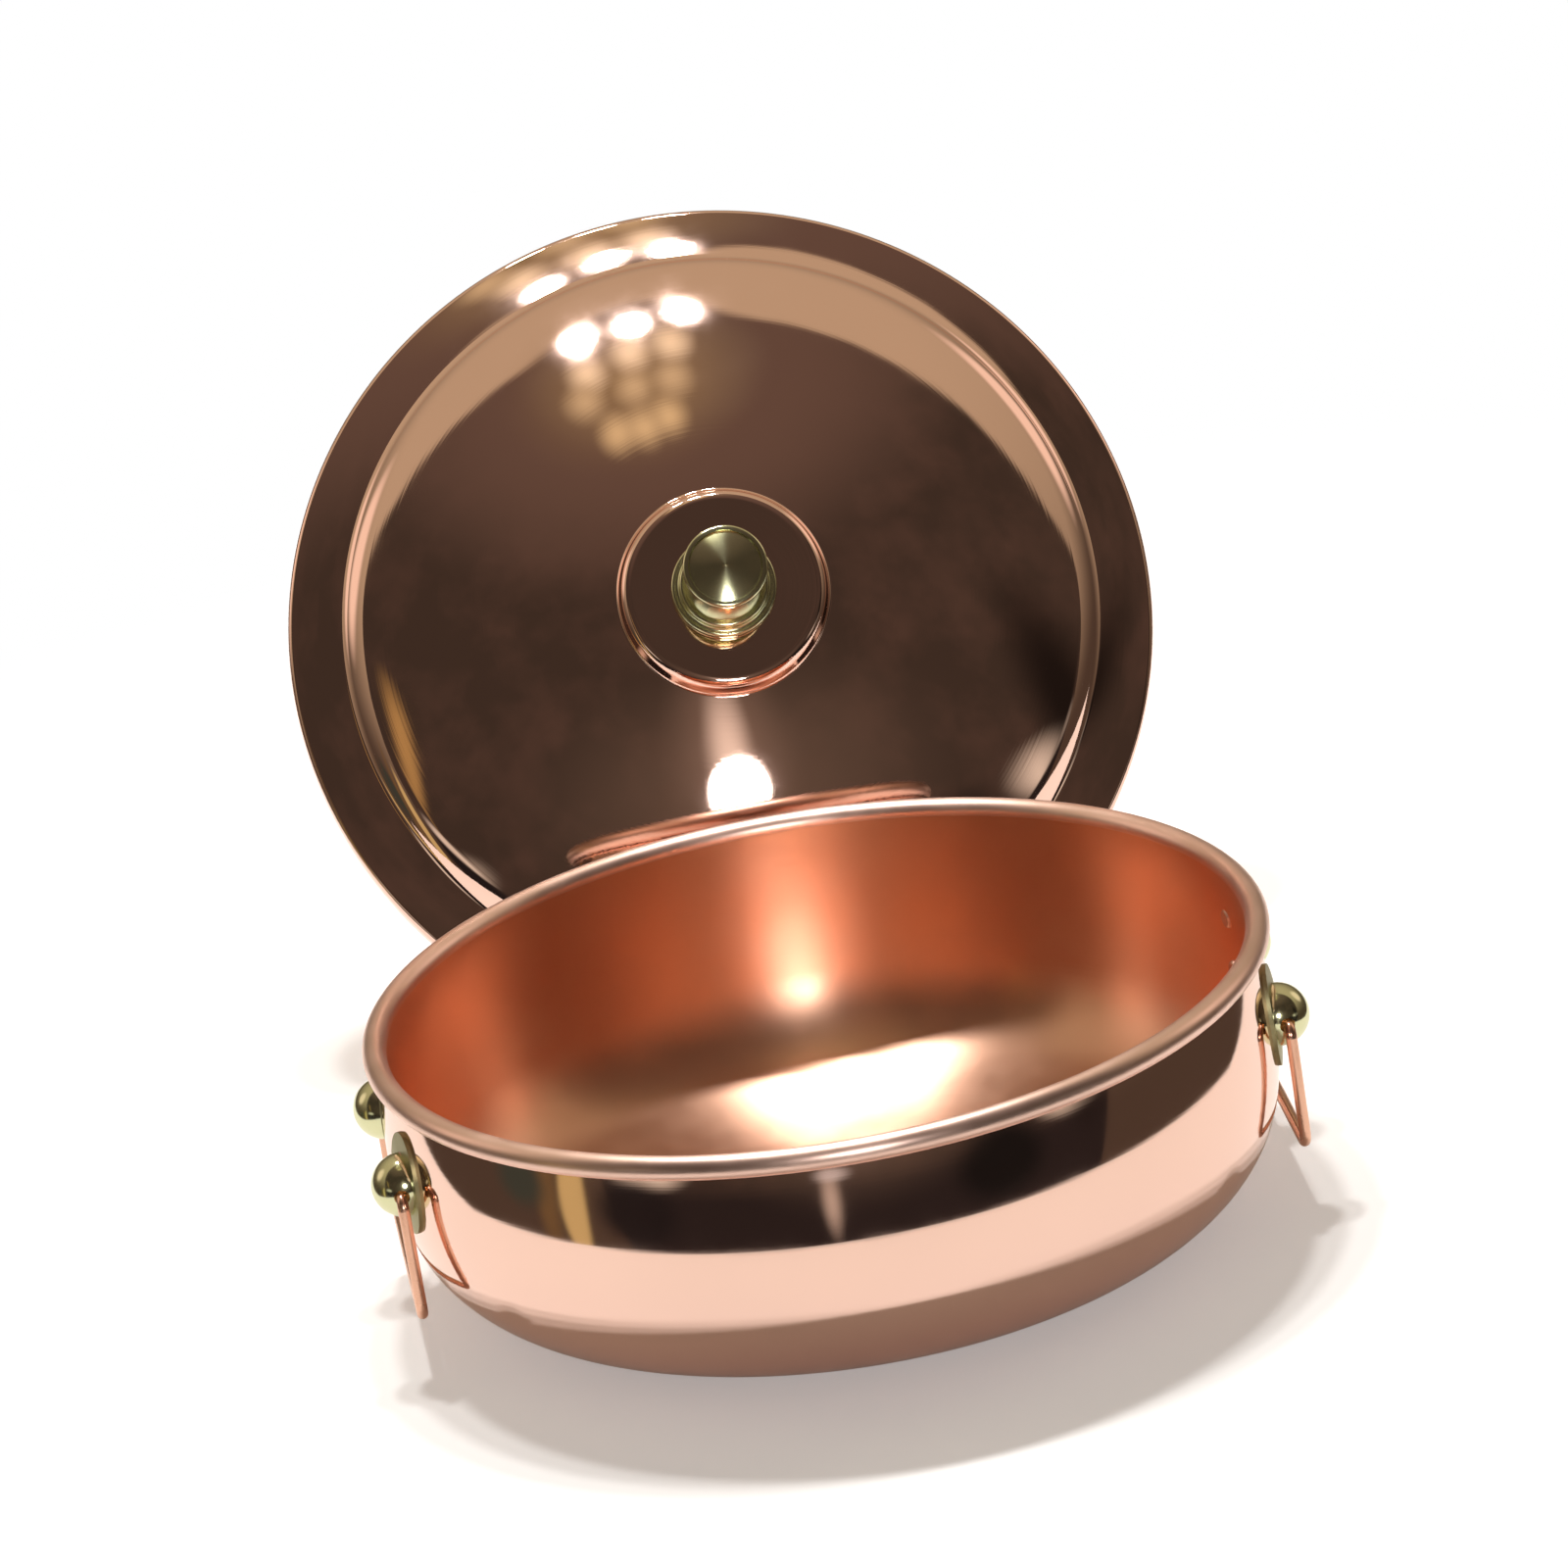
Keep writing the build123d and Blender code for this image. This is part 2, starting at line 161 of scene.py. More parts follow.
def arc(centre, radius, start, end, hollow=False):
    """Rows on a circle: the centre plus the radius times the cosine and sine of an angle that runs
    from start to end, with the normal away from the centre, or toward it where the face is hollow."""
    sweep = abs(end - start)
    steps = ceil(max(sweep / ARC_STEP, sweep * radius / ARC_LENGTH, 2))
    turns = np.linspace(start, end, steps + 1)
    rays = np.stack((np.cos(turns), np.sin(turns)), axis=1)
    return np.hstack((np.asarray(centre) + radius * rays, -rays if hollow else rays))


def line(start, end, normal):
    """Rows on a straight line: the start plus a share of the way to the end, all with one normal."""
    start, end = np.asarray(start, float), np.asarray(end, float)
    steps = ceil(np.linalg.norm(end - start) / (LINE_STEPS * ARC_LENGTH))
    share = np.linspace(0, 1, steps + 1)[:, None]
    return np.hstack((start + share * (end - start), np.tile(normal, (steps + 1, 1))))


def joined(*parts):
    """One section from parts that follow each other, each without the row that repeats the last."""
    return np.vstack([parts[0]] + [part[1:] for part in parts[1:]])


def turned_over(rows):
    """The same section run the other way, with its normals on the other side."""
    return rows[::-1] * (1, 1, -1, -1)


def pan_face(pan, inset):
    """The pan's outer face from the axis to the end of the rolled rim, moved into the sheet: a flat
    base, a wide arc, the hip, the belly and the curl, each touching the next."""
    bead = np.array((pan.rim_radius - pan.bead, pan.height - pan.bead))
    curl = pan.bead - pan.wall
    belly_radius = pan.rim_radius - pan.belly_recess
    over = bead[0] - belly_radius
    rise = bead[1] - pan.belly_height
    belly_arc = (over**2 + rise**2 - curl**2) / (2 * (curl - over))
    belly = np.array((belly_radius - belly_arc, pan.belly_height))
    bead_turn = atan2(rise, bead[0] - belly[0])
    floor = np.array((pan.base_radius, pan.floor_arc))
    gap = floor - belly
    apart = np.linalg.norm(gap)
    along = ((belly_arc - pan.hip_arc) ** 2 - (pan.floor_arc - pan.hip_arc) ** 2 + apart**2) / (2 * apart)
    aside = sqrt((belly_arc - pan.hip_arc) ** 2 - along**2)
    hip = belly + (along * gap + aside * np.array((gap[1], -gap[0]))) / apart
    hip_turn = atan2(*(hip - belly)[::-1])
    floor_turn = atan2(*(hip - floor)[::-1])
    end = pan.curl_end + asin(pan.wall / 2 / (curl + pan.wall / 2))
    return joined(
        line((0, inset), (pan.base_radius, inset), (0, -1)),
        arc(floor, pan.floor_arc - inset, -pi / 2, floor_turn),
        arc(hip, pan.hip_arc - inset, floor_turn, hip_turn),
        arc(belly, belly_arc - inset, hip_turn, bead_turn),
        arc(bead, curl + inset, pi + bead_turn, end, hollow=True),
    )


def pan_section(pan):
    """The pan's whole section: its inner face, the round end of the curl and its outer face. The
    second value is the rows where the rim and then the outer face start."""
    bead = (pan.rim_radius - pan.bead, pan.height - pan.bead)
    inner = pan_face(pan, pan.wall) * (1, 1, -1, -1)
    outer = pan_face(pan, 0.0)
    middle = (inner[-1, :2] + outer[-1, :2]) / 2
    start = atan2(middle[1] - bead[1], middle[0] - bead[0])
    from_bead = np.hypot(inner[:, 0] - bead[0], inner[:, 1] - bead[1])
    rim = int(np.argmax(from_bead < pan.bead * TOUCH_ROUNDING))
    return joined(inner, arc(middle, pan.wall / 2, start, start - pi), outer[::-1]), (rim, len(inner))


def lid_face(lid, inset):
    """The lid's outer face from the skirt to the screw hole, moved into the sheet: skirt, rounded
    edge, hollow brim and cove, round shoulder and dome, and the boss with its own cove and edge."""
    edge = (lid.radius - lid.edge, -lid.edge)
    brim_start = face_side(edge, lid.edge, lid.brim_edge_slope)
    brim_arc = (brim_start[0] - lid.radius + lid.brim) / (sin(lid.brim_foot_slope) - sin(lid.brim_edge_slope))
    brim = face_side(brim_start, brim_arc, lid.brim_edge_slope)
    cove = face_side(brim, lid.cove - brim_arc, lid.brim_foot_slope)
    shoulder = face_side(cove, -lid.cove - lid.shoulder, lid.step_slope)
    shoulder_slope = asin(shoulder[0] / (lid.dome - lid.shoulder))
    dome = face_side(shoulder, lid.shoulder - lid.dome, shoulder_slope)
    foot = np.array((lid.boss_foot, dome[1] + sqrt(lid.dome**2 - lid.boss_foot**2)))
    top = foot[1] + lid.boss_height
    flank = atan2(lid.boss_height, lid.boss_foot - lid.boss_top)
    start = polar(foot, -lid.boss_cove, 3 * pi / 2 - flank) - dome
    ahead = -start[0] * cos(flank) + start[1] * sin(flank)
    reach = sqrt(ahead**2 - hypot(*start) ** 2 + (lid.dome + lid.boss_cove) ** 2) - ahead
    boss_cove = dome + start + reach * np.array((-cos(flank), sin(flank)))
    boss_slope = atan2(boss_cove[0] - dome[0], boss_cove[1] - dome[1])
    boss_edge = (lid.boss_top - lid.boss_edge * np.tan(flank / 2), top - lid.boss_edge)
    flank_start = polar(boss_cove, lid.boss_cove + inset, -pi / 2 - flank)
    flank_end = polar(boss_edge, lid.boss_edge - inset, pi / 2 - flank)
    return joined(
        line((lid.radius - inset, lid.wall / 2 - lid.skirt), (lid.radius - inset, -lid.edge), (1, 0)),
        arc(edge, lid.edge - inset, 0, pi / 2 - lid.brim_edge_slope),
        arc(brim, brim_arc + inset, -pi / 2 - lid.brim_edge_slope, -pi / 2 - lid.brim_foot_slope, True),
        arc(cove, lid.cove + inset, -pi / 2 - lid.brim_foot_slope, -pi / 2 - lid.step_slope, True),
        arc(shoulder, lid.shoulder - inset, pi / 2 - lid.step_slope, pi / 2 - shoulder_slope),
        arc(dome, lid.dome - inset, pi / 2 - shoulder_slope, pi / 2 - boss_slope),
        arc(boss_cove, lid.boss_cove + inset, -pi / 2 - boss_slope, -pi / 2 - flank, True),
        line(flank_start, flank_end, (sin(flank), cos(flank))),
        arc(boss_edge, lid.boss_edge - inset, pi / 2 - flank, pi / 2),
        line((boss_edge[0], top - inset), (lid.hole + lid.wall / 2, top - inset), (0, 1)),
    )


def lid_section(lid):
    """The lid's whole section, closed: its outer face, the hole's round lip, its inner face and the
    skirt's round lip. The second value is the number of rows of the outer face."""
    outer = lid_face(lid, 0.0)
    inner = turned_over(lid_face(lid, lid.wall))
    hole_lip = arc((outer[-1, :2] + inner[0, :2]) / 2, lid.wall / 2, pi / 2, 3 * pi / 2)
    skirt_lip = arc((outer[0, :2] + inner[-1, :2]) / 2, lid.wall / 2, pi, 2 * pi)
    return joined(outer, hole_lip, inner, skirt_lip)[:-1], len(outer)


def lid_place(lid):
    """The lid's own frame where it stands: its axis leans back from level, and it rests on the edge
    of its skirt, behind the pan."""
    axis = Vector((sin(lid.turn) * cos(lid.lean), -cos(lid.turn) * cos(lid.lean), sin(lid.lean)))
    across = Vector((cos(lid.turn), sin(lid.turn), 0.0))
    rim = bpy.context.scene.hot_pot_pan.rim_radius
    back = rim + lid.foot_gap + lid.radius * sin(lid.lean) - lid.skirt * cos(lid.lean)
    height = lid.radius * cos(lid.lean) + lid.skirt * sin(lid.lean)
    place = Matrix((across, axis.cross(across), axis)).transposed().to_4x4()
    place.translation = (lid.side, back, height)
    return place


def turned(name, section, place, slot_rows, closed=False):
    """A piece turned from a section. Each point is the place's origin, plus its radius times the
    cosine of an angle along the place's x axis and times the sine along its y axis, plus its height
    along the z axis, and its normal turns with it. A row on the axis is one point. Each further
    material slot starts at one of the rows given."""
    turns = np.arange(SEGMENTS) * (2 * pi / SEGMENTS)
    ring = section[:, 0] > AXIS_ROUNDING
    starts = np.concatenate(([0], np.cumsum(np.where(ring, SEGMENTS, 1))[:-1]))
    row, step = np.divmod(np.arange(len(section) * SEGMENTS), SEGMENTS)
    kept = ring[row] | (step == 0)
    row, turn = row[kept], turns[step[kept]]
    basis = np.array(place.to_3x3())
    ray = np.stack((np.cos(turn), np.sin(turn)), axis=1)
    points = np.hstack((section[row, 0:1] * ray, section[row, 1:2])) @ basis.T + np.array(place.translation)
    normals = np.hstack((section[row, 2:3] * ray, section[row, 3:4])) @ basis.T

    here = starts[:, None] + np.where(ring[:, None], np.arange(SEGMENTS), 0)
    beside = np.roll(here, -1, axis=1)
    after = np.roll(np.arange(len(section)), -1)
    strips = np.stack((here, beside, beside[after], here[after]), axis=2)
    slots = np.searchsorted(slot_rows, np.arange(len(section)), side="right")
    slots = np.repeat(slots, SEGMENTS).astype(np.int32)
    if not closed:
        strips, slots = strips[:-1], slots[:-SEGMENTS]
    strips = strips.reshape(-1, 4)
    sample = strips[len(strips) // 3]
    facing = np.cross(points[sample[1]] - points[sample[0]], points[sample[3]] - points[sample[0]])
    if facing @ normals[sample[0]] < 0:
        strips = strips[:, ::-1]
    corners = np.sort(strips, axis=1)
    pole = (corners[:, 1:] == corners[:, :-1]).any(axis=1)
    again = strips == np.roll(strips, -1, axis=1)
    faces = strips[~pole].tolist() + strips[pole][~again[pole]].reshape(-1, 3).tolist()

    mesh = bpy.data.meshes.new(name)
    mesh.from_pydata(points, [], faces)
    mesh.polygons.foreach_set("material_index", np.concatenate((slots[~pole], slots[pole])))
    mesh.polygons.foreach_set("use_smooth", np.ones(len(faces), dtype=bool))
    mesh.normals_split_custom_set_from_vertices(normals)
    mesh.update()
    piece = bpy.data.objects.new(name, mesh)
    bpy.context.scene.collection.objects.link(piece)
    return piece


# Materials

# Widths in metres of the slow changes of tint and of the marks that hands and cloths leave
TINT_PATCH = 0.0714
HAND_MARK = 0.0182
# Noise seldom leaves this range, so roughness runs from its least to its most inside it
NOISE_RANGE = (0.35, 0.75)


def add(tree, kind, links=(), **settings):
    """Adds a node of a kind, sets its own properties, and fills its sockets with values or links."""
    made = tree.nodes.new(kind)
    for name, value in settings.items():
        setattr(made, name, value)
    for socket, value in dict(links).items():
        if isinstance(value, bpy.types.NodeSocket):
            tree.links.new(value, made.inputs[socket])
        else:
            made.inputs[socket].default_value = value
    return made


def metal(name, tint, place=None, roughness=0.1, smudge=0.04, spin=0.0, spin_spacing=0.0006, wave=0.0,
          wave_size=0.03, grain=0.0, grain_size=0.0008, brushed=0.0, tone=0.06):
    """A metal by how it was made. Place is the frame of the lathe or die that shaped it. Roughness
    varies by smudge where hands and cloths have been; spin is the depth in metres of the fine rings
    that spinning leaves, and spin_spacing their distance; wave is the depth of the sheet's slow
    unevenness and wave_size its width; grain is the depth of a fine all-over texture and grain_size
    its width; brushed is the stretch of the highlight across rings; tone is how far the tint varies.
    Real rings and grain lie a tenth of a millimetre apart, and are drawn near a millimetre to show."""
    material = bpy.data.materials.new(name)
    material.use_nodes = True
    tree = material.node_tree
    tree.nodes.clear()
    place = place or Matrix.Identity(4)
    here = add(tree, "ShaderNodeTexCoord").outputs["Object"]
    own = add(
        tree,
        "ShaderNodeMapping",
        {"Vector": here, "Location": place.translation, "Rotation": place.to_euler()},
        vector_type="TEXTURE",
    ).outputs["Vector"]
    parts = add(tree, "ShaderNodeSeparateXYZ", {"Vector": own})
    flat = add(tree, "ShaderNodeCombineXYZ", {"X": parts.outputs["X"], "Y": parts.outputs["Y"]})
    radius = add(tree, "ShaderNodeVectorMath", {0: flat.outputs[0]}, operation="LENGTH").outputs["Value"]
    run = add(tree, "ShaderNodeMath", {0: radius, 1: parts.outputs["Z"]}, operation="SUBTRACT").outputs[0]

    broad = add(
        tree, "ShaderNodeTexNoise", {"Vector": own, "Scale": 1.0 / TINT_PATCH, "Detail": 2.0}
    ).outputs["Fac"]
    hands = add(
        tree, "ShaderNodeTexNoise", {"Vector": own, "Scale": 1.0 / HAND_MARK, "Detail": 5.0}
    ).outputs["Fac"]
    darker = tuple(c * (1 - tone) for c in tint) + (1.0,)
    lighter = tuple(min(1.0, c * (1 + tone / 2)) for c in tint) + (1.0,)
    shade = add(
        tree,
        "ShaderNodeMix",
        {"Factor": broad, 6: darker, 7: lighter},
        data_type="RGBA",
    ).outputs[2]
    least, most = NOISE_RANGE
    dull = add(
        tree,
        "ShaderNodeMapRange",
        {"Value": hands, 1: least, 2: most, 3: roughness, 4: roughness + smudge},
    ).outputs[0]

    normal = None
    layers = (
        (wave, {"Vector": own, "Scale": 1.0 / wave_size, "Detail": 1.0}, "3D"),
        (grain, {"Vector": own, "Scale": 1.0 / grain_size, "Detail": 2.0}, "3D"),
        (spin, {"W": run, "Scale": 1.0 / spin_spacing, "Detail": 3.0}, "1D"),
    )
    for depth, links, dimensions in layers:
        if depth > 0:
            height = add(tree, "ShaderNodeTexNoise", links, noise_dimensions=dimensions).outputs["Fac"]
            bump = {"Height": height, "Strength": 1.0, "Distance": depth}
            if normal:
                bump["Normal"] = normal
            normal = add(tree, "ShaderNodeBump", bump).outputs["Normal"]

    shader = add(tree, "ShaderNodeBsdfPrincipled", {"Base Color": shade, "Roughness": dull, "Metallic": 1.0})
    if normal:
        tree.links.new(normal, shader.inputs["Normal"])
    if brushed > 0:
        axis = place.to_3x3() @ Vector((0, 0, 1))
        offset = add(
            tree, "ShaderNodeVectorMath", {0: here, 1: place.translation}, operation="SUBTRACT"
        ).outputs[0]
        ring = add(tree, "ShaderNodeVectorMath", {0: axis, 1: offset}, operation="CROSS_PRODUCT").outputs[0]
        face = add(tree, "ShaderNodeNewGeometry").outputs["Normal"]
        across = add(tree, "ShaderNodeVectorMath", {0: face, 1: ring}, operation="CROSS_PRODUCT").outputs[0]
        shader.inputs["Anisotropic"].default_value = brushed
        tree.links.new(across, shader.inputs["Tangent"])
    output = add(tree, "ShaderNodeOutputMaterial")
    tree.links.new(shader.outputs[0], output.inputs["Surface"])
    return material


def dress(node, material):
    """Gives a carried-over CAD node a material in each of its slots."""
    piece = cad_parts[node]
    if not piece.material_slots:
        piece.data.materials.append(material)
    for slot in piece.material_slots:
        slot.material = material


# Pieces


class HOTPOT_OT_pan(bpy.types.Operator):
    """Make the spun copper pan, polished outside and satin inside"""

    bl_idname = "hot_pot.pan"
    bl_label = "Pan"

    def execute(self, context):
        colours = context.scene.hot_pot_colours
        section, slot_rows = pan_section(context.scene.hot_pot_pan)
        pan = turned("pan", section, Matrix.Identity(4), slot_rows)
        # Spun copper left satin inside: rings from the scouring cloth stretch each highlight across
        # themselves. Its tint is painted deeper than the polished copper's, a painted interreflection
        # that stands for light meeting the metal more than once.
        pan.data.materials.append(
            metal("spun copper, satin", colours.satin_copper_with_painted_bounce, roughness=0.30, smudge=0.07, spin=0.00002,
                  spin_spacing=0.0011, wave=0.00015, wave_size=0.05, brushed=0.88, tone=0.1)
        )
        # The rolled rim is dressed by hand with a cloth, so its highlights run soft around the roll.
        pan.data.materials.append(
            metal("spun copper, rolled rim", colours.copper, roughness=0.32, smudge=0.08, spin=0.000006,
                  spin_spacing=0.0012, brushed=0.5, tone=0.06)
        )
        # Spun copper, polished: a mirror with a slow unevenness from the spinning roller.
        pan.data.materials.append(
            metal("spun copper, polished", colours.copper, roughness=0.05, smudge=0.04, spin=0.000003,
                  spin_spacing=0.0012, wave=0.00005, wave_size=0.05, tone=0.05)
        )
        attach(pan, "pot")
        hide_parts("pot_body")
        # Iron wire: drawn, grey, unseen inside the rolled rim.
        dress("rim_wire", metal("iron wire, drawn", colours.iron, roughness=0.4, smudge=0.1, grain=0.00002))
        return {"FINISHED"}


class HOTPOT_OT_lid(bpy.types.Operator):
    """Make the spun copper lid where it stands behind the pan"""

    bl_idname = "hot_pot.lid"
    bl_label = "Lid"

    def execute(self, context):
        colours = context.scene.hot_pot_colours
        sizes = context.scene.hot_pot_lid
        place = lid_place(sizes)
        section, outer_rows = lid_section(sizes)
        lid = turned("lid", section, place, (outer_rows,), closed=True)
        # The same polish as the pan's outside, with rings about the lid's own axis.
        lid.data.materials.append(
            metal("spun copper lid, polished", colours.copper, place, roughness=0.03, smudge=0.035,
                  spin=0.000004, spin_spacing=0.0014, wave=0.00008, wave_size=0.03, tone=0.05)
        )
        # Under the lid the copper keeps the satin of the scouring cloth, and the tint painted deeper as
        # painted interreflection.
        lid.data.materials.append(
            metal("spun copper lid, satin", colours.satin_copper_with_painted_bounce, place, roughness=0.3, smudge=0.06,
                  spin=0.00002, spin_spacing=0.0011, brushed=0.7, tone=0.1)
        )
        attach(lid, "lid")
        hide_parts("lid_shell")
        return {"FINISHED"}


class HOTPOT_OT_knob(bpy.types.Operator):
    """Finish the turned brass knob with its screw and washer"""

    bl_idname = "hot_pot.knob"
    bl_label = "Knob"

    def execute(self, context):
        colours = context.scene.hot_pot_colours
        place = lid_place(context.scene.hot_pot_lid)
        # Brass turned on a lathe and polished: fine rings about the lid's axis.
        dress("knob", metal("brass knob, turned and polished", colours.brass, place, roughness=0.16,
                            smudge=0.08, spin=0.000006, spin_spacing=0.0007, brushed=0.75, tone=0.08))
        # The screw and washer inside are left as they were cut, with a duller face.
        machined = metal("brass, machined", colours.brass, place, roughness=0.28, smudge=0.08, spin=0.00001,
                         spin_spacing=0.0005, tone=0.08)
        dress("knob_screw", machined)
        dress("knob_washer", machined)
        return {"FINISHED"}


class HOTPOT_OT_handles(bpy.types.Operator):
    """Finish the bails, half balls, backplates and rivets"""

    bl_idname = "hot_pot.handles"
    bl_label = "Handles"

    def execute(self, context):
        colours = context.scene.hot_pot_colours
        # Drawn copper wire, buffed, with faint die marks and handling.
        wire = metal("copper wire, drawn and buffed", colours.wire_copper, roughness=0.2, smudge=0.12,
                     grain=0.000012, grain_size=0.002, tone=0.12)
        # Brass half balls, cast and polished to a slightly wavy mirror.
        ball = metal("brass half ball, polished", colours.brass, roughness=0.1, smudge=0.08, wave=0.00003,
                     wave_size=0.012, tone=0.08)
        # Backplates pressed from brass sheet and buffed softer, so they look darker than the balls.
        plate = metal("brass plate, buffed", colours.plate_brass, roughness=0.4, smudge=0.12, grain=0.00001,
                      grain_size=0.0012, tone=0.12)
        # Rivet heads hammered flat, then scoured with the pan.
        rivet = metal("copper rivet, scoured", colours.rivet_copper, roughness=0.35, smudge=0.15,
                      grain=0.00003, grain_size=0.0015, tone=0.15)
        for side in SIDES:
            dress(f"{side}_bail", wire)
            for end in ENDS:
                dress(f"{side}_{end}_lug_ball", ball)
                dress(f"{side}_{end}_lug_plate", plate)
                dress(f"{side}_{end}_rivets", rivet)
        return {"FINISHED"}


# Stage: the table, the lamps, the room and the camera

# The pale wall's top: its height behind the pot, how much less it is at the sides, how far round the
# front ends, the power by which it falls, half the width of its blurred edge, and its colour low down
WALL_TOP = radians(76)
WALL_FALL = radians(56)
WALL_SIDE = radians(75)
WALL_POWER = 3.33
WALL_BLUR = radians(1.5)
WALL_FOOT_COLOUR = "#4E4238"
# Heights of the way, as its upward part, where the wall's own shade starts and ends
WALL_SHADE = (-0.15, 0.85)
# The room's unevenness: its noise's scale over the unit sphere, the range of the noise that shows,
# its most, and its colour
CLOUD_SCALE = 4.5
CLOUD_RANGE = (0.45, 0.70)
CLOUD_MOST = 0.5
CLOUD_COLOUR = "#5C4A41"
# Layers of the room by the upward part of the way, from none to all of each: ceiling, the ceiling
# right above, and the room's floor
ROOM_LAYERS = (
    (0.70, 0.95, "#65544A"),
    (0.95, 1.00, "#75685A"),
    (0.02, -0.12, "#2B2524"),
)
# Azimuth to the right of the front and elevation, half widths along both, softness of the edge,
# all angles in degrees, and the colour that shows there
ROOM_PATCHES = (
    # Bright doorways at both sides, which light the pan's inner wall
    (-114, 26, 14, 14, 0.4, "#FFE6D2"),
    (114, 26, 14, 14, 0.4, "#FFE6D2"),
    # Pale things low at both sides, which show at the lower ends of the lid's step
    (-55, 1, 9, 4, 0.5, "#E0DACB"),
    (56, 1, 9, 4, 0.5, "#E0DACB"),
    # Two golden posts, a greenish gap and a dark one, at the left of the pan's belly
    (-84, -9, 3.0, 14, 0.7, "#6E5A3C"),
    (-76, -9, 3.8, 15, 0.25, "#C8B57C"),
    (-92, -8, 7, 5, 0.5, "#3E443C"),
    (-58, -10, 10, 8, 0.4, "#231F1F"),
    # Dark things at the right, low for the belly and higher for the lid
    (34, -8, 11, 10, 0.4, "#1B1918"),
    (60, 10, 6, 14, 0.8, "#1E1916"),
    # The front lamp's stand and foot
    (-9, -6, 1.8, 9, 0.9, "#CDC0B2"),
    (-8, -0.5, 3.5, 1.6, 0.8, "#FFFFFF"),
    # The front lamp's glow, from wide to narrow
    (0, 13, 22, 14, 1.0, "#63564B"),
    (-1, 20, 7, 12, 1.0, "#7E6E62"),
    (-1, 19, 2.8, 9, 0.9, "#F4E8DA"),
)
# The same by the three parts of the way to them: a lit edge at the left, and the glow round the bulbs
WAY_PATCHES = (
    ((-0.818, -0.45, 0.33), (0.014, 0.12, 0.3), 0.7, "#B2935C"),
    ((-0.045, -0.030, 1.0), (0.17, 0.17, 1.0), 1.0, "#8F7C5C"),
)
# Rows of bulbs under the ceiling from back to front, each with its colour and the level parts of the
# way to its bulbs, and half the width of each bulb's glow
BULB_ROWS = (
    ("#FFF2CE", ((-0.143, 0.030), (-0.032, 0.062), (0.065, 0.070))),
    ("#D0C098", ((-0.171, -0.062), (-0.046, -0.061), (0.050, -0.056))),
    ("#DDCB9C", ((-0.119, -0.199), (-0.050, -0.202), (0.019, -0.181))),
)
BULB_GLOW = (0.035, 0.05, 1.0)
# The table: half its width, where the paper ends before and beside the pot, how much wider it gets
# behind, the light that the camera sees it give back, and from where to where it turns plain white
TABLE_REACH = 7.0
PAPER_EDGE = (0.310, 0.322)
PAPER_WIDENING = 1.6
PAPER_LIFT = 0.25
WHITE_EDGE = (0.4, 0.8)
# Places of the lamps in metres, what they are turned to, their widths and heights, and watts
CEILING_LAMPS = ((-0.255, 0.556, 1.895), (-0.021, 0.552, 1.914), (0.194, 0.593, 1.898))
CEILING_TARGET = (0, 0.1, 0)
CEILING_SIZE = (0.13, 0.13)
CEILING_POWER = 11.5
FRONT_LAMP = (-0.02, -1.97, 0.60)
FRONT_TARGET = (0, 0.2, 0.1)
FRONT_SIZE = (0.42, 0.46)
FRONT_POWER = 8.0
# The camera, as it was fitted to the pot's outlines in the photograph
CAMERA_PLACE = (-0.19848, -2.52547, 1.11162)
CAMERA_YAW = radians(4.5044)
CAMERA_PITCH = radians(20.5412)
CAMERA_ROLL = radians(9.2667)
CAMERA_LENS = 191.53
CAMERA_SENSOR = 36.0
CAMERA_SIGHT = 50.0


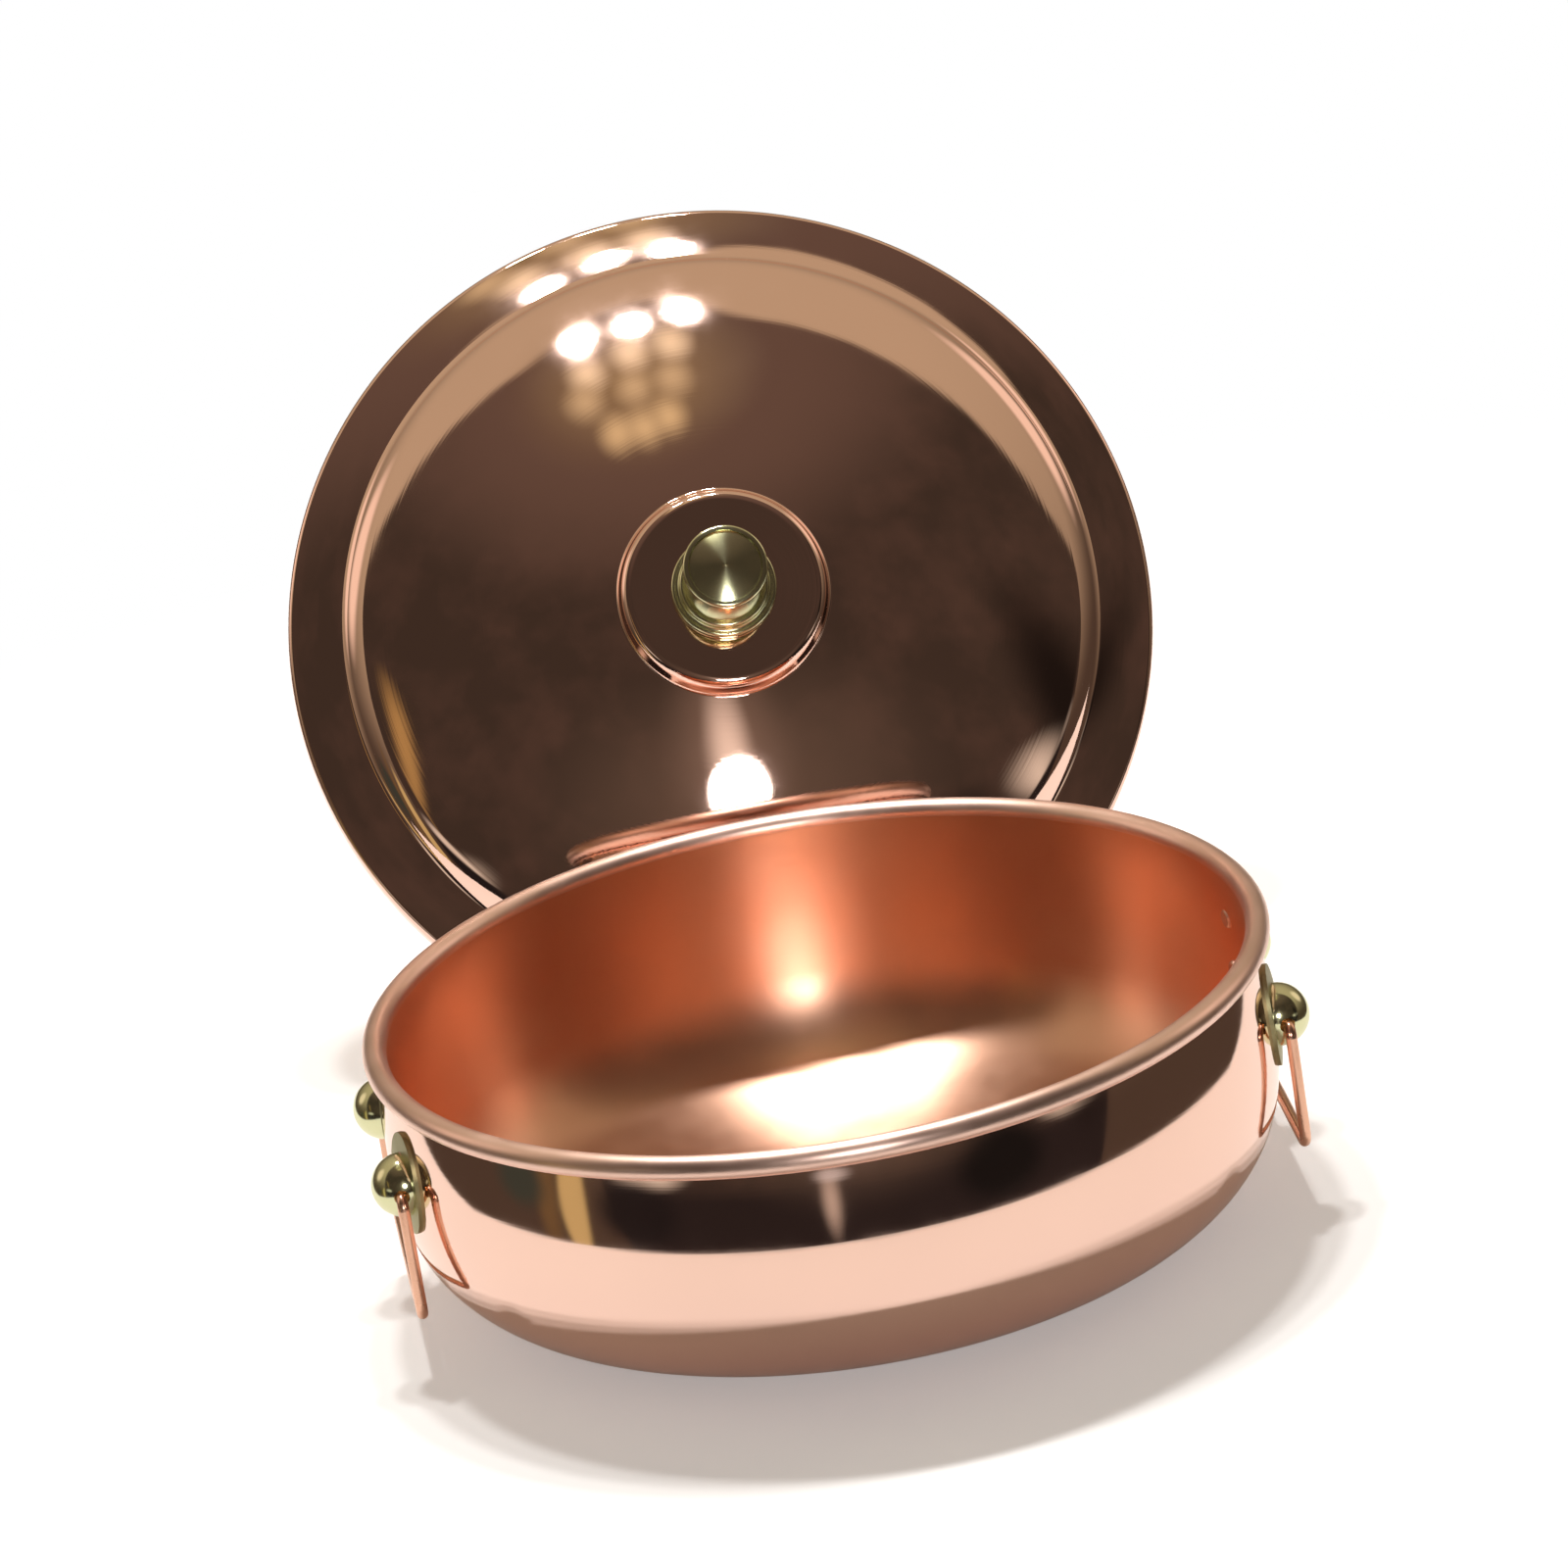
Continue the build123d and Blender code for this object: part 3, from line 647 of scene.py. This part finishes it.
def room(context):
    """Sets the surroundings: white behind the pot where the camera looks. Metal shows a dark brown
    room before the pot, a pale wall behind it and at its sides, a paler ceiling and soft patches."""
    world = bpy.data.worlds.new("room")
    world.use_nodes = True
    tree = world.node_tree
    tree.nodes.clear()
    colours = context.scene.hot_pot_colours
    way = add(tree, "ShaderNodeTexCoord").outputs["Generated"]
    parts = add(tree, "ShaderNodeSeparateXYZ", {"Vector": way})
    height = parts.outputs["Z"]
    ahead = add(tree, "ShaderNodeMath", {0: parts.outputs["Y"], 1: -1.0}, operation="MULTIPLY").outputs[0]
    azimuth = add(tree, "ShaderNodeMath", {0: parts.outputs["X"], 1: ahead}, operation="ARCTAN2").outputs[0]
    elevation = add(tree, "ShaderNodeMath", {0: height}, operation="ARCSINE").outputs[0]
    angles = add(tree, "ShaderNodeCombineXYZ", {"X": azimuth, "Y": elevation}).outputs[0]

    def share(value, start, end):
        """A smooth step from none to all between two values."""
        return add(
            tree, "ShaderNodeMapRange", {"Value": value, 1: start, 2: end}, interpolation_type="SMOOTHSTEP"
        ).outputs[0]

    def over(shown, factor, paint):
        """The colour shown so far with another laid over it by a factor."""
        return add(
            tree, "ShaderNodeMix", {"Factor": factor, 6: shown, 7: (*paint, 1.0)}, data_type="RGBA"
        ).outputs[2]

    # The room is uneven, and its ceiling grows paler toward the zenith
    cloud = add(
        tree, "ShaderNodeTexNoise", {"Vector": way, "Scale": CLOUD_SCALE, "Detail": 5.0, "Roughness": 0.6}
    ).outputs["Fac"]
    least, most = CLOUD_RANGE
    uneven = add(tree, "ShaderNodeMapRange", {"Value": cloud, 1: least, 2: most, 3: 0.0, 4: CLOUD_MOST})
    shown = over((*colours.room, 1.0), uneven.outputs[0], linear(CLOUD_COLOUR))
    for start, end, code in ROOM_LAYERS:
        shown = over(shown, share(height, start, end), linear(code))
    # The wall's top falls away from WALL_TOP behind to WALL_TOP less WALL_FALL at its sides, as a
    # power of how far round it is, and the wall grows paler upward
    round_it = add(tree, "ShaderNodeMath", {0: azimuth}, operation="COSINE").outputs[0]
    round_it = add(tree, "ShaderNodeMath", {0: round_it, 1: 1.0}, operation="ADD").outputs[0]
    full_round = 1 + cos(WALL_SIDE)
    round_it = add(tree, "ShaderNodeMath", {0: round_it, 1: full_round}, operation="DIVIDE").outputs[0]
    fall = add(tree, "ShaderNodeMath", {0: round_it, 1: WALL_POWER}, operation="POWER").outputs[0]
    raised = add(
        tree, "ShaderNodeMath", {0: fall, 1: WALL_FALL, 2: elevation}, operation="MULTIPLY_ADD"
    ).outputs[0]
    wall = share(raised, WALL_TOP + WALL_BLUR, WALL_TOP - WALL_BLUR)
    foot = (*linear(WALL_FOOT_COLOUR), 1.0)
    wall_colour = over(foot, share(height, *WALL_SHADE), colours.backdrop)
    shown = add(
        tree, "ShaderNodeMix", {"Factor": wall, 6: shown, 7: wall_colour}, data_type="RGBA"
    ).outputs[2]
    patches = []
    for across, up, half_across, half_up, soft, code in ROOM_PATCHES:
        place = (radians(across), radians(up), 0.0)
        size = (radians(half_across), radians(half_up), 1.0)
        patches.append((angles, place, size, soft, code))
    patches += [(way, *patch) for patch in WAY_PATCHES]
    patches += [(way, (*bulb, 1.0), BULB_GLOW, 1.0, code) for code, row in BULB_ROWS for bulb in row]
    for where, place, size, soft, code in patches:
        away = add(tree, "ShaderNodeVectorMath", {0: where, 1: place}, operation="SUBTRACT").outputs[0]
        away = add(tree, "ShaderNodeVectorMath", {0: away, 1: size}, operation="DIVIDE").outputs[0]
        away = add(tree, "ShaderNodeVectorMath", {0: away}, operation="LENGTH").outputs["Value"]
        shown = over(shown, share(away, 1 + soft, 1 - soft), linear(code))
    camera = add(tree, "ShaderNodeLightPath").outputs["Is Camera Ray"]
    background = add(tree, "ShaderNodeBackground", {"Color": over(shown, camera, (1.0, 1.0, 1.0))})
    output = add(tree, "ShaderNodeOutputWorld")
    tree.links.new(background.outputs[0], output.inputs["Surface"])
    context.scene.world = world


def table(context):
    """Sets the table: pale paper under the pot, round before it and wider behind it, as the
    photograph's reflections show. Only the camera sees it go on, to a plain white, and it keeps the
    pot's shadow."""
    mesh = bpy.data.meshes.new("table")
    corners = [(x * TABLE_REACH, y * TABLE_REACH, 0) for x, y in ((-1, -1), (1, -1), (1, 1), (-1, 1))]
    mesh.from_pydata(corners, [], [(0, 1, 2, 3)])
    floor = bpy.data.objects.new("table", mesh)
    context.scene.collection.objects.link(floor)
    # Matt white paper: it scatters light evenly, so the pot's shadow lies soft on it.
    material = bpy.data.materials.new("white paper, matt")
    material.use_nodes = True
    tree = material.node_tree
    tree.nodes.clear()

    def step_up(value, edge):
        """A smooth step from none to all between the two values of an edge."""
        start, end = edge
        return add(
            tree, "ShaderNodeMapRange", {"Value": value, 1: start, 2: end}, interpolation_type="SMOOTHSTEP"
        ).outputs[0]

    here = add(tree, "ShaderNodeTexCoord").outputs["Object"]
    parts = add(tree, "ShaderNodeSeparateXYZ", {"Vector": here})
    behind = add(tree, "ShaderNodeMath", {0: parts.outputs["Y"], 1: 0.0}, operation="MAXIMUM").outputs[0]
    before = add(tree, "ShaderNodeMath", {0: parts.outputs["Y"], 1: 0.0}, operation="MINIMUM").outputs[0]
    widening = add(
        tree, "ShaderNodeMath", {0: behind, 1: PAPER_WIDENING, 2: 1.0}, operation="MULTIPLY_ADD"
    ).outputs[0]
    side = add(tree, "ShaderNodeMath", {0: parts.outputs["X"], 1: widening}, operation="DIVIDE").outputs[0]
    spread = add(tree, "ShaderNodeCombineXYZ", {"X": side, "Y": before}).outputs[0]
    paper_reach = add(tree, "ShaderNodeVectorMath", {0: spread}, operation="LENGTH").outputs["Value"]
    away = add(tree, "ShaderNodeVectorMath", {0: here}, operation="LENGTH").outputs["Value"]
    camera = add(tree, "ShaderNodeLightPath").outputs["Is Camera Ray"]
    matt = add(tree, "ShaderNodeBsdfDiffuse", {"Color": (*context.scene.hot_pot_colours.floor, 1.0)})
    lift = add(tree, "ShaderNodeMath", {0: camera, 1: PAPER_LIFT}, operation="MULTIPLY").outputs[0]
    glow = add(tree, "ShaderNodeEmission", {"Strength": lift})
    paper = add(tree, "ShaderNodeAddShader", {0: matt.outputs[0], 1: glow.outputs[0]}).outputs[0]
    # Past its edge, the paper goes on for the camera alone
    unseen = add(tree, "ShaderNodeMath", {0: 1.0, 1: camera}, operation="SUBTRACT").outputs[0]
    past = step_up(paper_reach, PAPER_EDGE)
    gone = add(tree, "ShaderNodeMath", {0: past, 1: unseen}, operation="MULTIPLY").outputs[0]
    clear = add(tree, "ShaderNodeBsdfTransparent").outputs[0]
    paper = add(tree, "ShaderNodeMixShader", {0: gone, 1: paper, 2: clear}).outputs[0]
    # Far off, it is plain white
    far = step_up(away, WHITE_EDGE)
    far = add(tree, "ShaderNodeMath", {0: far, 1: camera}, operation="MULTIPLY").outputs[0]
    white = add(tree, "ShaderNodeEmission", {"Strength": 1.0}).outputs[0]
    paper = add(tree, "ShaderNodeMixShader", {0: far, 1: paper, 2: white}).outputs[0]
    output = add(tree, "ShaderNodeOutputMaterial")
    tree.links.new(paper, output.inputs["Surface"])
    floor.data.materials.append(material)


def lamp(context, name, shape, place, target, size, power):
    """A white area lamp at a place, turned to its target, that the camera doesn't see."""
    data = bpy.data.lights.new(name, "AREA")
    data.shape = shape
    data.size, data.size_y = size
    data.energy = power
    made = bpy.data.objects.new(name, data)
    context.scene.collection.objects.link(made)
    made.location = place
    made.rotation_euler = (Vector(target) - Vector(place)).to_track_quat("-Z", "Y").to_euler()
    made.visible_camera = False


class HOTPOT_OT_stage(bpy.types.Operator):
    """Set the table, the lamps, the room and the camera"""

    bl_idname = "hot_pot.stage"
    bl_label = "Stage"

    def execute(self, context):
        room(context)
        table(context)
        # Three ceiling lamps above the lid, which it shows as three bright spots in a row
        for number, place in enumerate(CEILING_LAMPS, 1):
            name = f"ceiling_lamp_{number}"
            lamp(context, name, "DISK", place, CEILING_TARGET, CEILING_SIZE, CEILING_POWER)
        # A low lamp before the table, which gives the glare on the lid and the streak in the pan
        lamp(context, "front_lamp", "ELLIPSE", FRONT_LAMP, FRONT_TARGET, FRONT_SIZE, FRONT_POWER)

        data = bpy.data.cameras.new("camera")
        data.lens = CAMERA_LENS
        data.sensor_width = CAMERA_SENSOR
        data.clip_end = CAMERA_SIGHT
        camera = bpy.data.objects.new("camera", data)
        context.scene.collection.objects.link(camera)
        level = cos(CAMERA_PITCH)
        ahead = Vector((sin(CAMERA_YAW) * level, cos(CAMERA_YAW) * level, -sin(CAMERA_PITCH)))
        right = ahead.cross(Vector((0, 0, 1))).normalized()
        up = right.cross(ahead)
        x_axis = cos(CAMERA_ROLL) * right - sin(CAMERA_ROLL) * up
        y_axis = sin(CAMERA_ROLL) * right + cos(CAMERA_ROLL) * up
        turn = Matrix((x_axis, y_axis, -ahead)).transposed().to_4x4()
        camera.matrix_world = Matrix.Translation(CAMERA_PLACE) @ turn
        context.scene.camera = camera
        context.scene.view_settings.view_transform = "Standard"
        return {"FINISHED"}


class HOTPOT_PT_panel(bpy.types.Panel):
    """The pieces of the hot pot, in the order in which they are made"""

    bl_idname = "HOTPOT_PT_panel"
    bl_label = "Hot pot"
    bl_space_type = "VIEW_3D"
    bl_region_type = "UI"
    bl_category = "Hot pot"

    def draw(self, context):
        for piece in PIECES:
            self.layout.operator(piece.bl_idname)


GROUPS = {
    "hot_pot_pan": HotPotPanSizes,
    "hot_pot_lid": HotPotLidSizes,
    "hot_pot_colours": HotPotColours,
}
PIECES = (HOTPOT_OT_pan, HOTPOT_OT_lid, HOTPOT_OT_knob, HOTPOT_OT_handles, HOTPOT_OT_stage)


def register():
    for group in GROUPS.values():
        bpy.utils.register_class(group)
    for name, group in GROUPS.items():
        setattr(bpy.types.Scene, name, PointerProperty(type=group))
    for piece in PIECES:
        bpy.utils.register_class(piece)
    bpy.utils.register_class(HOTPOT_PT_panel)


def unregister():
    bpy.utils.unregister_class(HOTPOT_PT_panel)
    for piece in reversed(PIECES):
        bpy.utils.unregister_class(piece)
    for name, group in GROUPS.items():
        delattr(bpy.types.Scene, name)
        bpy.utils.unregister_class(group)


def main():
    register()
    for piece in PIECES:
        family, name = piece.bl_idname.split(".")
        getattr(getattr(bpy.ops, family), name)()


if __name__ == "__main__":
    main()
